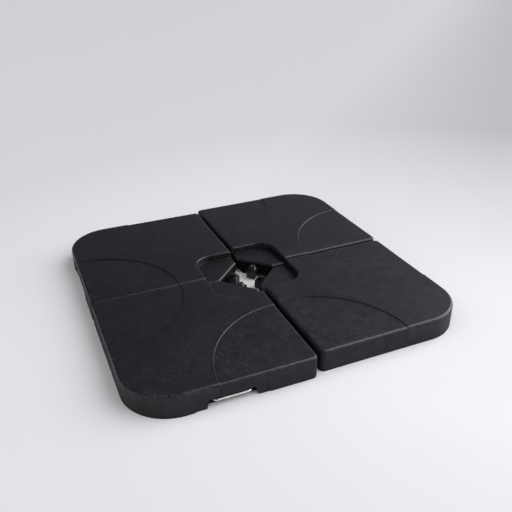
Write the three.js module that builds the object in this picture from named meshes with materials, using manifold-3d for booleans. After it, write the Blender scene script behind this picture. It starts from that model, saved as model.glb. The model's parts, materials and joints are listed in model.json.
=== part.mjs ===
// Parasol base: four ballast weights laid in a square round a mast opening.
// Millimetres, +Z up. The weights lie on z = 0 and the row's centre is x = y = 0.
//
// Each weight is built once in its own frame and laid four times, a quarter turn apart.
// In that frame the inner corner is at the origin, the seams run along +X and +Y,
// and the carry handle is in the outer side at y = SIDE.

import * as THREE from 'three';
import { mergeVertices } from 'three/addons/utils/BufferGeometryUtils.js';
import Module from 'manifold-3d';

const wasm = await Module();
wasm.setup();

// ---- driving sizes -------------------------------------------------------

const SIDE = 500; // one weight, edge to edge
const HEIGHT = 70; // floor to top face
const LAY_PITCH = 252; // centre of the row to the centre line of a weight laid square
const CLEAR = 0.3; // between pieces that touch

const OUTER_CORNER = 136; // radius of the corner that shows at the outside of the row
const SEAM_CORNER = 16; // radius of the two corners where a seam meets an outer side
const CUT_CORNER = 7; // radius where the inner cut meets a seam
const INNER_CUT = 91; // the inner corner is cut off this far along each seam
const TOP_EDGE = 8; // rounding of the top edge

const WALL = 3.5; // plastic cover
const BASE_PLATE = 5; // plastic cover of the underside

const RECESS_HALF = 137.5; // mast recess, from the inner corner to its upper rim
const RECESS_CORNER = 57;
const RECESS_DEPTH = 20;
const RECESS_TAPER = 3; // how much narrower the recess is at its floor
const RECESS_LIP = 4; // chamfer of the upper rim

const PANEL_RADIUS = 275; // quarter-round panels centred on the two seam corners
const PANEL_STEP = 2;

const CHANNEL_WIDTH = 14; // half of the cross-foot channel that two weights share
const CHANNEL_HEIGHT = 18;
const CHANNEL_END = 440;

const GRIP_CENTRE = 240; // hand-hold, from the seam
const GRIP_HALF_FLOOR = 70; // its half width at the floor
const GRIP_HALF_TOP = 62;
const GRIP_HEIGHT = 26;
const GRIP_DEPTH = 45;
const GRIP_FLOOR_DEPTH = 20; // outer side to the base plate, which closes the rest of the hand-hold below
const RELIEF_HALF_FLOOR = 102; // shallow field round the hand-hold
const RELIEF_HALF_TOP = 91;
const RELIEF_HEIGHT = 29;
const RELIEF_DEPTH = 3;
const FIELD_CORNER = 4; // radius of the upper corners of the hand-hold and of the field round it

const ROD = 6; // carry handle, wire diameter
const ROD_SPAN = 104; // between the centres of its two legs
const ROD_BEND = 12;
const ROD_HEIGHT = 19;
const ROD_SETBACK = 5; // outer side to the centre of the bar, pushed in
const ROD_TRAVEL = 48;

const BUSH_OUTER = 10;
const BUSH_FLANGE = 13;
const BUSH_FLANGE_THICK = 2.5;
const BUSH_LENGTH = 22;
const STOP_OUTER = 9;
const STOP_THICK = 4;
const STOP_MARGIN = 2; // between stop and bush with the handle fully out
const LEG_TIP = 1; // wire beyond its stop

const LUG_WIDTH = 30;
const LUG_THICK = 5;
const LUG_TOP = 35;
const LUG_REACH = 34; // beyond the inner cut, towards the centre of the row
const LUG_TAIL = 40; // length held in the concrete
const LUG_ANCHOR = 14; // depth of the turned-down end of the tail
const LUG_FOOT = 6; // lower edge of the turned-down front and sides, above the floor
const LUG_CHEEK = 4; // thickness of the turned-down sides
const LUG_FOLD = 3; // chamfer outside the fold
const BOLT_REACH = 17; // bolt axis beyond the inner cut

const BOLT = 12;
const BOLT_HEAD = 7;
const HEX_ACROSS_FLATS = 18;
const BOLT_LENGTH = 23; // under the head
const WASHER_OUTER = 24;
const WASHER_THICK = 2.5;
const NUT_THICK = 10;

const BOSS = 14;
const BOSS_EDGE = 36; // boss centre to the two sides that it stands near
const BOSS_OUTER_CORNER = 72; // the same at the large corner
const SCREW = 4;
const SCREW_HEAD = 9;
const SCREW_HEAD_THICK = 2.6;
const SCREW_SUNK = 0.6; // head below the underside
const SCREW_TIP = 24;
const SLOT_WIDTH = 1.2;
const SLOT_DEPTH = 1;

const ROUND_STEPS = 12; // facets of small round pieces
const LARGE_ROUND_STEPS = 56; // facets of a full panel circle
const BORE_STEPS = 10;
const WASHER_STEPS = 16;
const WIRE_STEPS = 34; // sections along the wire handle
const WIRE_QUARTER_STEPS = 2; // facets in a quarter of the wire's section

// ---- places worked out from the sizes ------------------------------------

const BEYOND = 20; // how far a large cutter runs past the face that it opens
const THROUGH = 1; // the same for a small cutter, and for a bar that joins a head
const BORE_SPARE = 3; // depth of a blind bore beyond the tip of its wire or screw
const COVER_FOOT = BASE_PLATE + CLEAR;
const RECESS_FLOOR = HEIGHT - RECESS_DEPTH;
const GRIP_BACK = SIDE - GRIP_DEPTH;
const BUSH_SHOULDER = GRIP_BACK + CLEAR;
const BUSH_FRONT = BUSH_SHOULDER + BUSH_FLANGE_THICK;
const BUSH_TAIL = BUSH_FRONT - BUSH_LENGTH;
const STOP_FOOT = BUSH_TAIL - ROD_TRAVEL - STOP_MARGIN - STOP_THICK + LEG_TIP;
const LEG_END = STOP_FOOT - LEG_TIP;
const CUT_MIDDLE = INNER_CUT / 2;
const WASHER_FOOT = LUG_TOP + CLEAR;
const HEAD_FOOT = WASHER_FOOT + WASHER_THICK + CLEAR;
const BOSS_PLACES = [
  [SIDE - BOSS_EDGE, BOSS_EDGE],
  [SIDE - BOSS_OUTER_CORNER, SIDE - BOSS_OUTER_CORNER],
  [BOSS_EDGE, SIDE - BOSS_EDGE],
];

// ---- materials -------------------------------------------------------------

const plastic = () => new THREE.MeshStandardMaterial({ color: 0x26262b, roughness: 0.72, metalness: 0 });
const concrete = () => new THREE.MeshStandardMaterial({ color: 0x8c8a85, roughness: 0.95, metalness: 0 });
const steel = () => new THREE.MeshStandardMaterial({ color: 0xc9ccd0, roughness: 0.28, metalness: 1 });
const zinc = () => new THREE.MeshStandardMaterial({ color: 0xb4b7ba, roughness: 0.42, metalness: 1 });
const painted = () => new THREE.MeshStandardMaterial({ color: 0x1b1b1e, roughness: 0.5, metalness: 0.4 });
const nylon = () => new THREE.MeshStandardMaterial({ color: 0x17171a, roughness: 0.6, metalness: 0 });

// How the four weights lie: quarter turn, then the shift and small turn of a base laid by hand.
// The bolts of two weights are bright zinc and those of the other two are black.
const LAID_WEIGHTS = [
  { corner: 'back_right', quarter: 0, shift: [4.6, 12.5], turn: 0.6, bolt: zinc },
  { corner: 'back_left', quarter: 1, shift: [-0.2, -9.2], turn: -0.4, bolt: painted },
  { corner: 'front_left', quarter: 2, shift: [-3.6, -5.8], turn: -0.33, bolt: zinc },
  { corner: 'front_right', quarter: 3, shift: [5.3, 7.4], turn: 0.1, bolt: painted },
];

// ---- solids ----------------------------------------------------------------

// A three.js geometry as a solid that can be joined and cut.
function solid(geometry) {
  const bare = geometry.index ? geometry.toNonIndexed() : geometry.clone();
  bare.deleteAttribute('normal');
  bare.deleteAttribute('uv');
  const merged = mergeVertices(bare);
  const mesh = new wasm.Mesh({
    numProp: 3,
    vertProperties: merged.attributes.position.array,
    triVerts: Uint32Array.from(merged.index.array),
  });
  return new wasm.Manifold(mesh);
}

// A solid as a named three.js mesh.
function piece(name, body, material) {
  const mesh = body.getMesh();
  const geometry = new THREE.BufferGeometry();
  geometry.setAttribute('position', new THREE.BufferAttribute(mesh.vertProperties, 3));
  geometry.setIndex(new THREE.BufferAttribute(mesh.triVerts, 1));
  geometry.computeVertexNormals();
  const result = new THREE.Mesh(geometry, material);
  result.name = name;
  return result;
}

function cutAway(body, cutters) {
  return cutters.reduce((left, cutter) => left.subtract(cutter), body);
}

function box(x, y, z) {
  const geometry = new THREE.BoxGeometry(x[1] - x[0], y[1] - y[0], z[1] - z[0]);
  geometry.translate((x[0] + x[1]) / 2, (y[0] + y[1]) / 2, (z[0] + z[1]) / 2);
  return solid(geometry);
}

// An upright round bar from z[0] to z[1].
function post(x, y, z, diameter, steps = ROUND_STEPS) {
  const geometry = new THREE.CylinderGeometry(diameter / 2, diameter / 2, z[1] - z[0], steps);
  geometry.rotateX(Math.PI / 2);
  geometry.translate(x, y, (z[0] + z[1]) / 2);
  return solid(geometry);
}

function hexPost(x, y, z) {
  return post(x, y, z, HEX_ACROSS_FLATS / Math.cos(Math.PI / 6), 6);
}

// A round bar along Y at the height of the handle's legs.
function legBar(x, y, diameter) {
  const geometry = new THREE.CylinderGeometry(diameter / 2, diameter / 2, y[1] - y[0], ROUND_STEPS);
  geometry.translate(x, (y[0] + y[1]) / 2, ROD_HEIGHT);
  return solid(geometry);
}

// A closed outline from corners [x, y, radius], counter-clockwise, with round corners.
function roundedOutline(corners) {
  const points = [];
  corners.forEach(([x, y, radius], i) => {
    const here = new THREE.Vector2(x, y);
    const before = new THREE.Vector2(...corners.at(i - 1).slice(0, 2)).sub(here).normalize();
    const after = new THREE.Vector2(...corners[(i + 1) % corners.length].slice(0, 2)).sub(here).normalize();
    if (radius <= 0) {
      points.push(here);
      return;
    }
    const half = Math.acos(THREE.MathUtils.clamp(before.dot(after), -1, 1)) / 2;
    const centre = before.clone().add(after).setLength(radius / Math.sin(half)).add(here);
    const first = before.clone().multiplyScalar(radius / Math.tan(half)).add(here).sub(centre);
    const sweep = Math.PI - 2 * half;
    const steps = Math.max(1, Math.round(sweep * Math.sqrt(radius) / 2));
    for (let k = 0; k <= steps; k += 1) {
      const turned = first.clone().rotateAround(new THREE.Vector2(), (sweep * k) / steps);
      points.push(turned.add(centre));
    }
  });
  return new THREE.Shape(points);
}

// The weight's outline, moved inwards by inset on every side.
function weightOutline(inset) {
  const near = INNER_CUT + inset * (Math.SQRT2 - 1);
  const far = SIDE - inset;
  const shrink = (radius) => Math.max(radius - inset, 1);
  return roundedOutline([
    [near, inset, shrink(CUT_CORNER)],
    [far, inset, shrink(SEAM_CORNER)],
    [far, far, shrink(OUTER_CORNER)],
    [inset, far, shrink(SEAM_CORNER)],
    [inset, near, shrink(CUT_CORNER)],
  ]);
}

// The recess's quarter in one weight, moved outwards by grow.
function recessOutline(grow) {
  const reach = RECESS_HALF + grow;
  return roundedOutline([
    [-BEYOND, -BEYOND, 0],
    [reach, -BEYOND, 0],
    [reach, reach, RECESS_CORNER + grow],
    [-BEYOND, reach, 0],
  ]);
}

function slab(shape, z) {
  const geometry = new THREE.ExtrudeGeometry(shape, { depth: z[1] - z[0], bevelEnabled: false });
  geometry.translate(0, 0, z[0]);
  return solid(geometry);
}

// A slab with sloped ends: full size between z[0] and z[1], smaller by slope.size outside.
function slopedSlab(shape, z, slope) {
  const geometry = new THREE.ExtrudeGeometry(shape, {
    depth: z[1] - z[0],
    bevelEnabled: true,
    bevelThickness: slope.height,
    bevelSize: slope.size,
    bevelSegments: slope.steps,
  });
  geometry.translate(0, 0, z[0]);
  return solid(geometry);
}

// ---- the hollows of one weight, each grown by a wall or a gap ---------------

function recessHollow() {
  const walls = { height: RECESS_DEPTH - RECESS_LIP, size: RECESS_TAPER, steps: 1 };
  const well = slopedSlab(recessOutline(-RECESS_TAPER), [HEIGHT - RECESS_LIP, HEIGHT + BEYOND], walls);
  const lip = { height: RECESS_LIP, size: RECESS_LIP, steps: 1 };
  return well.add(slopedSlab(recessOutline(0), [HEIGHT, HEIGHT + BEYOND], lip));
}

function recessBlock(grow) {
  return slab(recessOutline(grow), [RECESS_FLOOR - grow, HEIGHT + BEYOND]);
}

function channelBlocks(grow) {
  const run = [-BEYOND, CHANNEL_END + grow];
  const across = [-BEYOND, CHANNEL_WIDTH + grow];
  const height = [-BEYOND, CHANNEL_HEIGHT + grow];
  return [box(run, across, height), box(across, run, height)];
}

// A field of the outer side, narrower at its top, open towards the floor.
function sideField(halfFloor, halfTop, height, depth) {
  const slant = (halfFloor - halfTop) / height;
  const shape = roundedOutline([
    [-halfFloor - slant * BEYOND, -BEYOND, 0],
    [halfFloor + slant * BEYOND, -BEYOND, 0],
    [halfTop, height, FIELD_CORNER],
    [-halfTop, height, FIELD_CORNER],
  ]);
  const geometry = new THREE.ExtrudeGeometry(shape, { depth: depth + BEYOND, bevelEnabled: false });
  geometry.rotateX(Math.PI / 2);
  geometry.translate(GRIP_CENTRE, SIDE + BEYOND, 0);
  return solid(geometry);
}

function gripBlock(grow, depth = GRIP_DEPTH) {
  const halfFloor = GRIP_HALF_FLOOR + grow;
  const pocket = sideField(halfFloor, GRIP_HALF_TOP + grow, GRIP_HEIGHT + grow, depth + grow);
  const relief = sideField(
    RELIEF_HALF_FLOOR + grow,
    RELIEF_HALF_TOP + grow,
    RELIEF_HEIGHT + grow,
    RELIEF_DEPTH + grow,
  );
  return pocket.add(relief);
}

function panelHollows() {
  const depth = [HEIGHT - PANEL_STEP, HEIGHT + BEYOND];
  return [
    post(SIDE, 0, depth, 2 * PANEL_RADIUS, LARGE_ROUND_STEPS),
    post(0, SIDE, depth, 2 * PANEL_RADIUS, LARGE_ROUND_STEPS),
  ];
}

function legPlaces() {
  return [GRIP_CENTRE - ROD_SPAN / 2, GRIP_CENTRE + ROD_SPAN / 2];
}

function bushBores() {
  const run = [LEG_END - BORE_SPARE, GRIP_BACK + THROUGH];
  return legPlaces().map((x) => legBar(x, run, BUSH_OUTER + 2 * CLEAR));
}

// Something built with +X pointing from the inner cut to the centre of the row.
function atInnerCut(body) {
  return body.rotate([0, 0, -135]).translate([CUT_MIDDLE, CUT_MIDDLE, 0]);
}

function lugHollow() {
  const across = [-LUG_WIDTH / 2 - CLEAR, LUG_WIDTH / 2 + CLEAR];
  const tailEnd = -LUG_TAIL - CLEAR;
  const top = LUG_TOP + CLEAR;
  const plate = box([tailEnd, THROUGH], across, [LUG_TOP - LUG_THICK - CLEAR, top]);
  const anchorEnd = tailEnd + LUG_THICK + 2 * CLEAR;
  const anchor = box([tailEnd, anchorEnd], across, [LUG_TOP - LUG_ANCHOR - CLEAR, top]);
  return atInnerCut(plate.add(anchor));
}

// ---- the pieces of one weight ----------------------------------------------

function topCover() {
  const roundEdge = { height: TOP_EDGE, size: TOP_EDGE, steps: 3 };
  const outside = cutAway(slopedSlab(weightOutline(TOP_EDGE), [COVER_FOOT, HEIGHT - TOP_EDGE], roundEdge), [
    box([-BEYOND, SIDE + BEYOND], [-BEYOND, SIDE + BEYOND], [-BEYOND, COVER_FOOT]),
    recessHollow(),
    ...channelBlocks(0),
    gripBlock(0),
    ...panelHollows(),
  ]);
  const bosses = BOSS_PLACES.map(([x, y]) => post(x, y, [0, HEIGHT], BOSS, BORE_STEPS));
  const inside = cutAway(slab(weightOutline(WALL), [-BEYOND, HEIGHT - WALL]), [
    recessBlock(WALL),
    ...channelBlocks(WALL),
    gripBlock(WALL),
    ...bosses,
  ]);
  const holeRun = [0, SCREW_TIP + BORE_SPARE];
  const screwHoles = BOSS_PLACES.map(([x, y]) => post(x, y, holeRun, SCREW + 2 * CLEAR, BORE_STEPS));
  return cutAway(outside, [inside, ...screwHoles, ...bushBores(), lugHollow()]);
}

function baseCover() {
  const plate = slab(weightOutline(0), [0, BASE_PLATE]);
  const screwHoles = BOSS_PLACES.flatMap(([x, y]) => [
    post(x, y, [-THROUGH, BASE_PLATE + THROUGH], SCREW + 2 * CLEAR, BORE_STEPS),
    post(x, y, [-THROUGH, SCREW_SUNK + SCREW_HEAD_THICK + CLEAR], SCREW_HEAD + 2 * CLEAR, BORE_STEPS),
  ]);
  return cutAway(plate, [...channelBlocks(0), gripBlock(0, GRIP_FLOOR_DEPTH), ...screwHoles]);
}

function concreteCore() {
  const grow = WALL + CLEAR;
  const block = slab(weightOutline(grow), [COVER_FOOT, HEIGHT - grow]);
  const bossHoles = BOSS_PLACES.map(([x, y]) => post(x, y, [0, HEIGHT], BOSS + 2 * CLEAR, BORE_STEPS));
  return cutAway(block, [
    recessBlock(grow),
    ...channelBlocks(grow),
    gripBlock(grow),
    ...bossHoles,
    ...bushBores(),
    lugHollow(),
  ]);
}

function carryHandle() {
  const bar = SIDE - ROD_SETBACK;
  const [left, right] = legPlaces();
  const at = (x, y) => new THREE.Vector3(x, y, ROD_HEIGHT);
  const path = new THREE.CurvePath();
  const line = (a, b) => path.add(new THREE.LineCurve3(a, b));
  const bend = (a, corner, b) => path.add(new THREE.QuadraticBezierCurve3(a, corner, b));
  line(at(left, LEG_END), at(left, bar - ROD_BEND));
  bend(at(left, bar - ROD_BEND), at(left, bar), at(left + ROD_BEND, bar));
  line(at(left + ROD_BEND, bar), at(right - ROD_BEND, bar));
  bend(at(right - ROD_BEND, bar), at(right, bar), at(right, bar - ROD_BEND));
  line(at(right, bar - ROD_BEND), at(right, LEG_END));
  const section = new THREE.Shape().absarc(0, 0, ROD / 2, 0, 2 * Math.PI);
  const sweep = {
    steps: WIRE_STEPS,
    curveSegments: 2 * WIRE_QUARTER_STEPS,
    bevelEnabled: false,
    extrudePath: path,
  };
  return solid(new THREE.ExtrudeGeometry(section, sweep));
}

// A ring of revolution about a leg's axis. Profile points are [radius, distance along +Y].
function legRing(x, profile) {
  const closed = [...profile, profile[0]].map(([radius, y]) => new THREE.Vector2(radius, y));
  const geometry = new THREE.LatheGeometry(closed, ROUND_STEPS);
  geometry.translate(x, 0, ROD_HEIGHT);
  return solid(geometry);
}

function handleBush(x) {
  const bore = ROD / 2 + CLEAR;
  return legRing(x, [
    [bore, BUSH_TAIL],
    [BUSH_OUTER / 2, BUSH_TAIL],
    [BUSH_OUTER / 2, BUSH_SHOULDER],
    [BUSH_FLANGE / 2, BUSH_SHOULDER],
    [BUSH_FLANGE / 2, BUSH_FRONT],
    [bore, BUSH_FRONT],
  ]);
}

function handleStop(x) {
  const bore = ROD / 2 + CLEAR;
  return legRing(x, [
    [bore, STOP_FOOT],
    [STOP_OUTER / 2, STOP_FOOT],
    [STOP_OUTER / 2, STOP_FOOT + STOP_THICK],
    [bore, STOP_FOOT + STOP_THICK],
  ]);
}

function fixingLug() {
  const under = LUG_TOP - LUG_THICK;
  const side = new THREE.Shape([
    new THREE.Vector2(-LUG_TAIL, LUG_TOP - LUG_ANCHOR),
    new THREE.Vector2(-LUG_TAIL + LUG_THICK, LUG_TOP - LUG_ANCHOR),
    new THREE.Vector2(-LUG_TAIL + LUG_THICK, under),
    new THREE.Vector2(LUG_REACH - LUG_THICK, under),
    new THREE.Vector2(LUG_REACH - LUG_THICK, LUG_FOOT),
    new THREE.Vector2(LUG_REACH, LUG_FOOT),
    new THREE.Vector2(LUG_REACH, LUG_TOP - LUG_FOLD),
    new THREE.Vector2(LUG_REACH - LUG_FOLD, LUG_TOP),
    new THREE.Vector2(-LUG_TAIL, LUG_TOP),
  ]);
  const geometry = new THREE.ExtrudeGeometry(side, { depth: LUG_WIDTH, bevelEnabled: false });
  geometry.rotateX(Math.PI / 2);
  geometry.translate(0, LUG_WIDTH / 2, 0);
  const hole = post(BOLT_REACH, 0, [under - THROUGH, LUG_TOP + THROUGH], BOLT + 2 * CLEAR);
  const cheeks = [-1, 1].map((hand) => {
    const across = [(hand * LUG_WIDTH) / 2, hand * (LUG_WIDTH / 2 - LUG_CHEEK)].sort((a, b) => a - b);
    return box([CLEAR, LUG_REACH - LUG_THICK + THROUGH], across, [LUG_FOOT, under + THROUGH]);
  });
  return atInnerCut(solid(geometry).subtract(hole).add(cheeks[0]).add(cheeks[1]));
}

function lugBolt() {
  const shank = post(BOLT_REACH, 0, [HEAD_FOOT - BOLT_LENGTH, HEAD_FOOT + THROUGH], BOLT);
  return atInnerCut(shank.add(hexPost(BOLT_REACH, 0, [HEAD_FOOT, HEAD_FOOT + BOLT_HEAD])));
}

function lugWasher() {
  const height = [WASHER_FOOT, WASHER_FOOT + WASHER_THICK];
  const through = [WASHER_FOOT - THROUGH, WASHER_FOOT + WASHER_THICK + THROUGH];
  const hole = post(BOLT_REACH, 0, through, BOLT + 2 * CLEAR);
  return atInnerCut(post(BOLT_REACH, 0, height, WASHER_OUTER, WASHER_STEPS).subtract(hole));
}

function lugNut() {
  const top = LUG_TOP - LUG_THICK - CLEAR;
  const hole = post(BOLT_REACH, 0, [top - NUT_THICK - THROUGH, top + THROUGH], BOLT + 2 * CLEAR);
  return atInnerCut(hexPost(BOLT_REACH, 0, [top - NUT_THICK, top]).subtract(hole));
}

function coverScrew([x, y]) {
  const neck = SCREW_SUNK + SCREW_HEAD_THICK;
  const shank = post(x, y, [neck - THROUGH, SCREW_TIP], SCREW, BORE_STEPS);
  const across = [y - SLOT_WIDTH / 2, y + SLOT_WIDTH / 2];
  const slot = box([x - SCREW_HEAD, x + SCREW_HEAD], across, [-THROUGH, SCREW_SUNK + SLOT_DEPTH]);
  return shank.add(post(x, y, [SCREW_SUNK, neck], SCREW_HEAD, BORE_STEPS)).subtract(slot);
}

// Every piece of one weight, with its corner of the row in the name. The lug's bolt, washer
// and nut share one finish.
function weightPieces(corner, boltFinish) {
  const [left, right] = legPlaces();
  const pieces = [
    piece(`top_cover_${corner}`, topCover(), plastic()),
    piece(`base_cover_${corner}`, baseCover(), plastic()),
    piece(`concrete_core_${corner}`, concreteCore(), concrete()),
    piece(`carry_handle_${corner}`, carryHandle(), steel()),
    piece(`handle_bush_a_${corner}`, handleBush(left), nylon()),
    piece(`handle_bush_b_${corner}`, handleBush(right), nylon()),
    piece(`handle_stop_a_${corner}`, handleStop(left), zinc()),
    piece(`handle_stop_b_${corner}`, handleStop(right), zinc()),
    piece(`fixing_lug_${corner}`, fixingLug(), painted()),
    piece(`lug_bolt_${corner}`, lugBolt(), boltFinish()),
    piece(`lug_washer_${corner}`, lugWasher(), boltFinish()),
    piece(`lug_nut_${corner}`, lugNut(), boltFinish()),
  ];
  BOSS_PLACES.forEach((place, i) => {
    pieces.push(piece(`cover_screw_${i + 1}_${corner}`, coverScrew(place), zinc()));
  });
  return pieces;
}

// One weight laid in its corner of the row.
function laidWeight({ corner, quarter, shift, turn, bolt }) {
  const angle = (quarter * Math.PI) / 2;
  const square = new THREE.Vector2(LAY_PITCH, LAY_PITCH).rotateAround(new THREE.Vector2(), angle);
  const fromInnerCorner = new THREE.Group();
  fromInnerCorner.add(...weightPieces(corner, bolt));
  fromInnerCorner.position.set(-SIDE / 2, -SIDE / 2, 0);
  const laid = new THREE.Group();
  laid.add(fromInnerCorner);
  laid.rotation.z = angle + THREE.MathUtils.degToRad(turn);
  laid.position.set(square.x + shift[0], square.y + shift[1], 0);
  return laid;
}

const parasolBase = new THREE.Group();
parasolBase.add(...LAID_WEIGHTS.map(laidWeight));

// Centre the whole row on x = y = 0.
parasolBase.updateMatrixWorld(true);
const middle = new THREE.Box3().setFromObject(parasolBase, true).getCenter(new THREE.Vector3());
parasolBase.position.set(-middle.x, -middle.y, 0);

export default parasolBase;
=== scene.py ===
"""Parasol base: four ballast weights laid in a square round a mast opening.

Each moulded piece is built once in a weight's own frame, in millimetres, and laid in the four
corners of the row. In that frame the inner corner is at the origin, the seams run along +X and +Y,
and the carry handle is at y = SIDE.
"""

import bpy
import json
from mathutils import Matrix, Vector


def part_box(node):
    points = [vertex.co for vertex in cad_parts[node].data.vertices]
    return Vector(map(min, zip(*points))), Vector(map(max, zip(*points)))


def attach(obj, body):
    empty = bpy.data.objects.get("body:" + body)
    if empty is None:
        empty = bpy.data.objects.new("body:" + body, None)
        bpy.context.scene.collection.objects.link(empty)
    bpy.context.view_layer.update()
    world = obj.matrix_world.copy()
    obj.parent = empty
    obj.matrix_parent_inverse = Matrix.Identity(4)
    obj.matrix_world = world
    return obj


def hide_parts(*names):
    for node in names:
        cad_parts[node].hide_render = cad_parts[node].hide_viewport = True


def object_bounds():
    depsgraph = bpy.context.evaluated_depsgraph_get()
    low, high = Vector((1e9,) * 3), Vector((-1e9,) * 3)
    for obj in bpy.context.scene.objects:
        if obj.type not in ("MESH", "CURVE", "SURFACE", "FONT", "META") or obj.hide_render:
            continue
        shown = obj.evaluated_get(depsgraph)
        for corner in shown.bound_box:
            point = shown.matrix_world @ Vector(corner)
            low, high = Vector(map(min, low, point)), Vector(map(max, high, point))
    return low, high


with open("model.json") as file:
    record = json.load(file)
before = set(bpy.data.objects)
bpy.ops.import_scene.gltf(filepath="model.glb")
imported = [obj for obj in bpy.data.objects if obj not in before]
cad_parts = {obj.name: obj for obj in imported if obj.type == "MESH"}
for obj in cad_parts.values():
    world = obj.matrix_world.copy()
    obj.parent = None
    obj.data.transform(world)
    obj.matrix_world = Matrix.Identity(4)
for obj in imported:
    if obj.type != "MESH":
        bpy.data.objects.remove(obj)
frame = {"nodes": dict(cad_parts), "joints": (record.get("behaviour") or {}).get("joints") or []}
cad_box = [list(corner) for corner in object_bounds()]

import json
import math

import bmesh
import bpy
import numpy as np
from mathutils import Matrix, Vector, noise
from mathutils.geometry import delaunay_2d_cdt

MM = 0.001
CORNERS = ("back_right", "back_left", "front_left", "front_right")

# ---- sizes of one weight, in millimetres ------------------------------------

SIDE = 500
HEIGHT = cad_box[1][2] / MM
CLEAR = 0.3
OUTER_CORNER = 136
SEAM_CORNER = 16
CUT_CORNER = 7
INNER_CUT = 91
WALL = 3.5
BASE_PLATE = 5
COVER_FOOT = BASE_PLATE + CLEAR
RIM_RADIUS = 8

RECESS_HALF = 137.5
RECESS_CORNER = 57
RECESS_DEPTH = 20
RECESS_TAPER = 3
RECESS_LIP = 4

PANEL_RADIUS = 275
PANEL_STEP = 2

CHANNEL_WIDTH = 14
CHANNEL_HEIGHT = 18
CHANNEL_END = 440
CHANNEL_LIP = 1.4
CHANNEL_FILLET = 4

GRIP_CENTRE = 240
GRIP_HALVES = (70, 62)  # at the floor and at the top
GRIP_HEIGHT = 26
GRIP_DEPTH = 45
GRIP_FLOOR_DEPTH = 20  # outer side to the base plate under the hand-hold
RELIEF_HALVES = (102, 91)
RELIEF_HEIGHT = 29
RELIEF_DEPTH = 3
FIELD_CORNER = 4

ROD = 6
ROD_SPAN = 104
ROD_BEND = 12
ROD_HEIGHT = 19
ROD_SETBACK = 5
ROD_TRAVEL = next(j["range_m"][1] for j in frame["joints"] if j["name"].startswith("pull_handle")) / MM
BUSH_OUTER = 10
BUSH_FLANGE = 13
BUSH_FLANGE_THICK = 2.5
BUSH_LENGTH = 22
STOP_OUTER = 9
STOP_THICK = 4
LEG_TIP = 1
LEG_ROOM = 56  # length of the bore behind a bush
STOP_SPARE = 2  # left between a stop and its bush when the handle is out

LUG_WIDTH = 30
LUG_THICK = 5
LUG_TOP = 35
LUG_REACH = 34
LUG_TAIL = 40
LUG_ANCHOR = 14
LUG_FOOT = 6
LUG_CHEEK = 4
BOLT_REACH = 17
BOLT = 12
BOLT_HEAD = 7
HEX_ACROSS_FLATS = 18
BOLT_LENGTH = 23
BOLT_NECK = 7
THREAD_PITCH = 1.75
THREAD_DEPTH = 0.61 * THREAD_PITCH
THREAD_TAPER = 1.2
THREAD_RINGS = 9  # to one pitch
WASHER_OUTER = 24
WASHER_THICK = 2.5
NUT_THICK = 10

BOSS = 14
BOSS_EDGE = 36
BOSS_OUTER_CORNER = 72
SCREW = 4
SCREW_HEAD = 9
SCREW_HEAD_THICK = 2.6
SCREW_SUNK = 0.6
SCREW_TIP = 24
SLOT_WIDTH = 1.2
SLOT_DEPTH = 1

BEYOND = 20  # how far a cutter runs past the face that it opens
CUT_MIDDLE = INNER_CUT / 2
LEGS = (GRIP_CENTRE - ROD_SPAN / 2, GRIP_CENTRE + ROD_SPAN / 2)
BUSH_SHOULDER = SIDE - GRIP_DEPTH + CLEAR
BUSH_FRONT = BUSH_SHOULDER + BUSH_FLANGE_THICK
BUSH_BACK = BUSH_FRONT - BUSH_LENGTH
STOP_FOOT = BUSH_BACK - ROD_TRAVEL - STOP_SPARE - STOP_THICK + LEG_TIP
WASHER_FOOT = LUG_TOP + CLEAR
HEAD_FOOT = WASHER_FOOT + WASHER_THICK + CLEAR
BOSS_PLACES = (
    (SIDE - BOSS_EDGE, BOSS_EDGE),
    (SIDE - BOSS_OUTER_CORNER, SIDE - BOSS_OUTER_CORNER),
    (BOSS_EDGE, SIDE - BOSS_EDGE),
)


def laid_frame(corner):
    """Where the weight's own frame lies in the row, from its handle's slide axis and its washer's place."""
    outward = next(j["axis"] for j in frame["joints"] if j["name"] == f"pull_handle_{corner}")
    y_axis = Vector(outward).normalized()
    x_axis = Vector((y_axis.y, -y_axis.x, 0))
    turn = Matrix((x_axis, y_axis, (0, 0, 1))).transposed()
    low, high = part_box(f"lug_washer_{corner}")
    washer = (Vector(low) + Vector(high)) / 2
    along = (CUT_MIDDLE - BOLT_REACH * math.sqrt(0.5)) * MM
    origin = washer - turn @ Vector((along, along, 0))
    origin.z = 0
    return Matrix.Translation(origin) @ turn.to_4x4()


PLACES = {corner: laid_frame(corner) for corner in CORNERS}

# ---- outlines ------------------------------------------------------------------


ARC_FINENESS = 1.7


def arc_steps(sweep, radius):
    """How many parts an arc is drawn in: more of them for a wide or a large one."""
    return max(3, math.ceil(abs(sweep) * math.sqrt(abs(radius)) * ARC_FINENESS))


def round_corner(before, here, after, radius, steps=None):
    """Points of the arc that rounds one corner of an outline."""
    here = Vector(here)
    back, on = (Vector(before) - here).normalized(), (Vector(after) - here).normalized()
    if radius <= 0:
        return [here]
    half = math.acos(max(-1, min(1, back.dot(on)))) / 2
    first = here + back * radius / math.tan(half)
    last = here + on * radius / math.tan(half)
    centre = here + (back + on).normalized() * radius / math.sin(half)
    start = math.atan2(*(first - centre).yx)
    sweep = (math.atan2(*(last - centre).yx) - start + math.pi) % (2 * math.pi) - math.pi
    steps = steps or arc_steps(sweep, radius)
    angles = [start + sweep * k / steps for k in range(steps + 1)]
    return [centre + radius * Vector((math.cos(a), math.sin(a))) for a in angles]


def divided(points, step):
    """The same line with its long straight runs divided."""
    result = [points[0]]
    for a, b in zip(points, points[1:]):
        parts = max(1, round((b - a).length / step))
        result += [a.lerp(b, k / parts) for k in range(1, parts + 1)]
    return result


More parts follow.
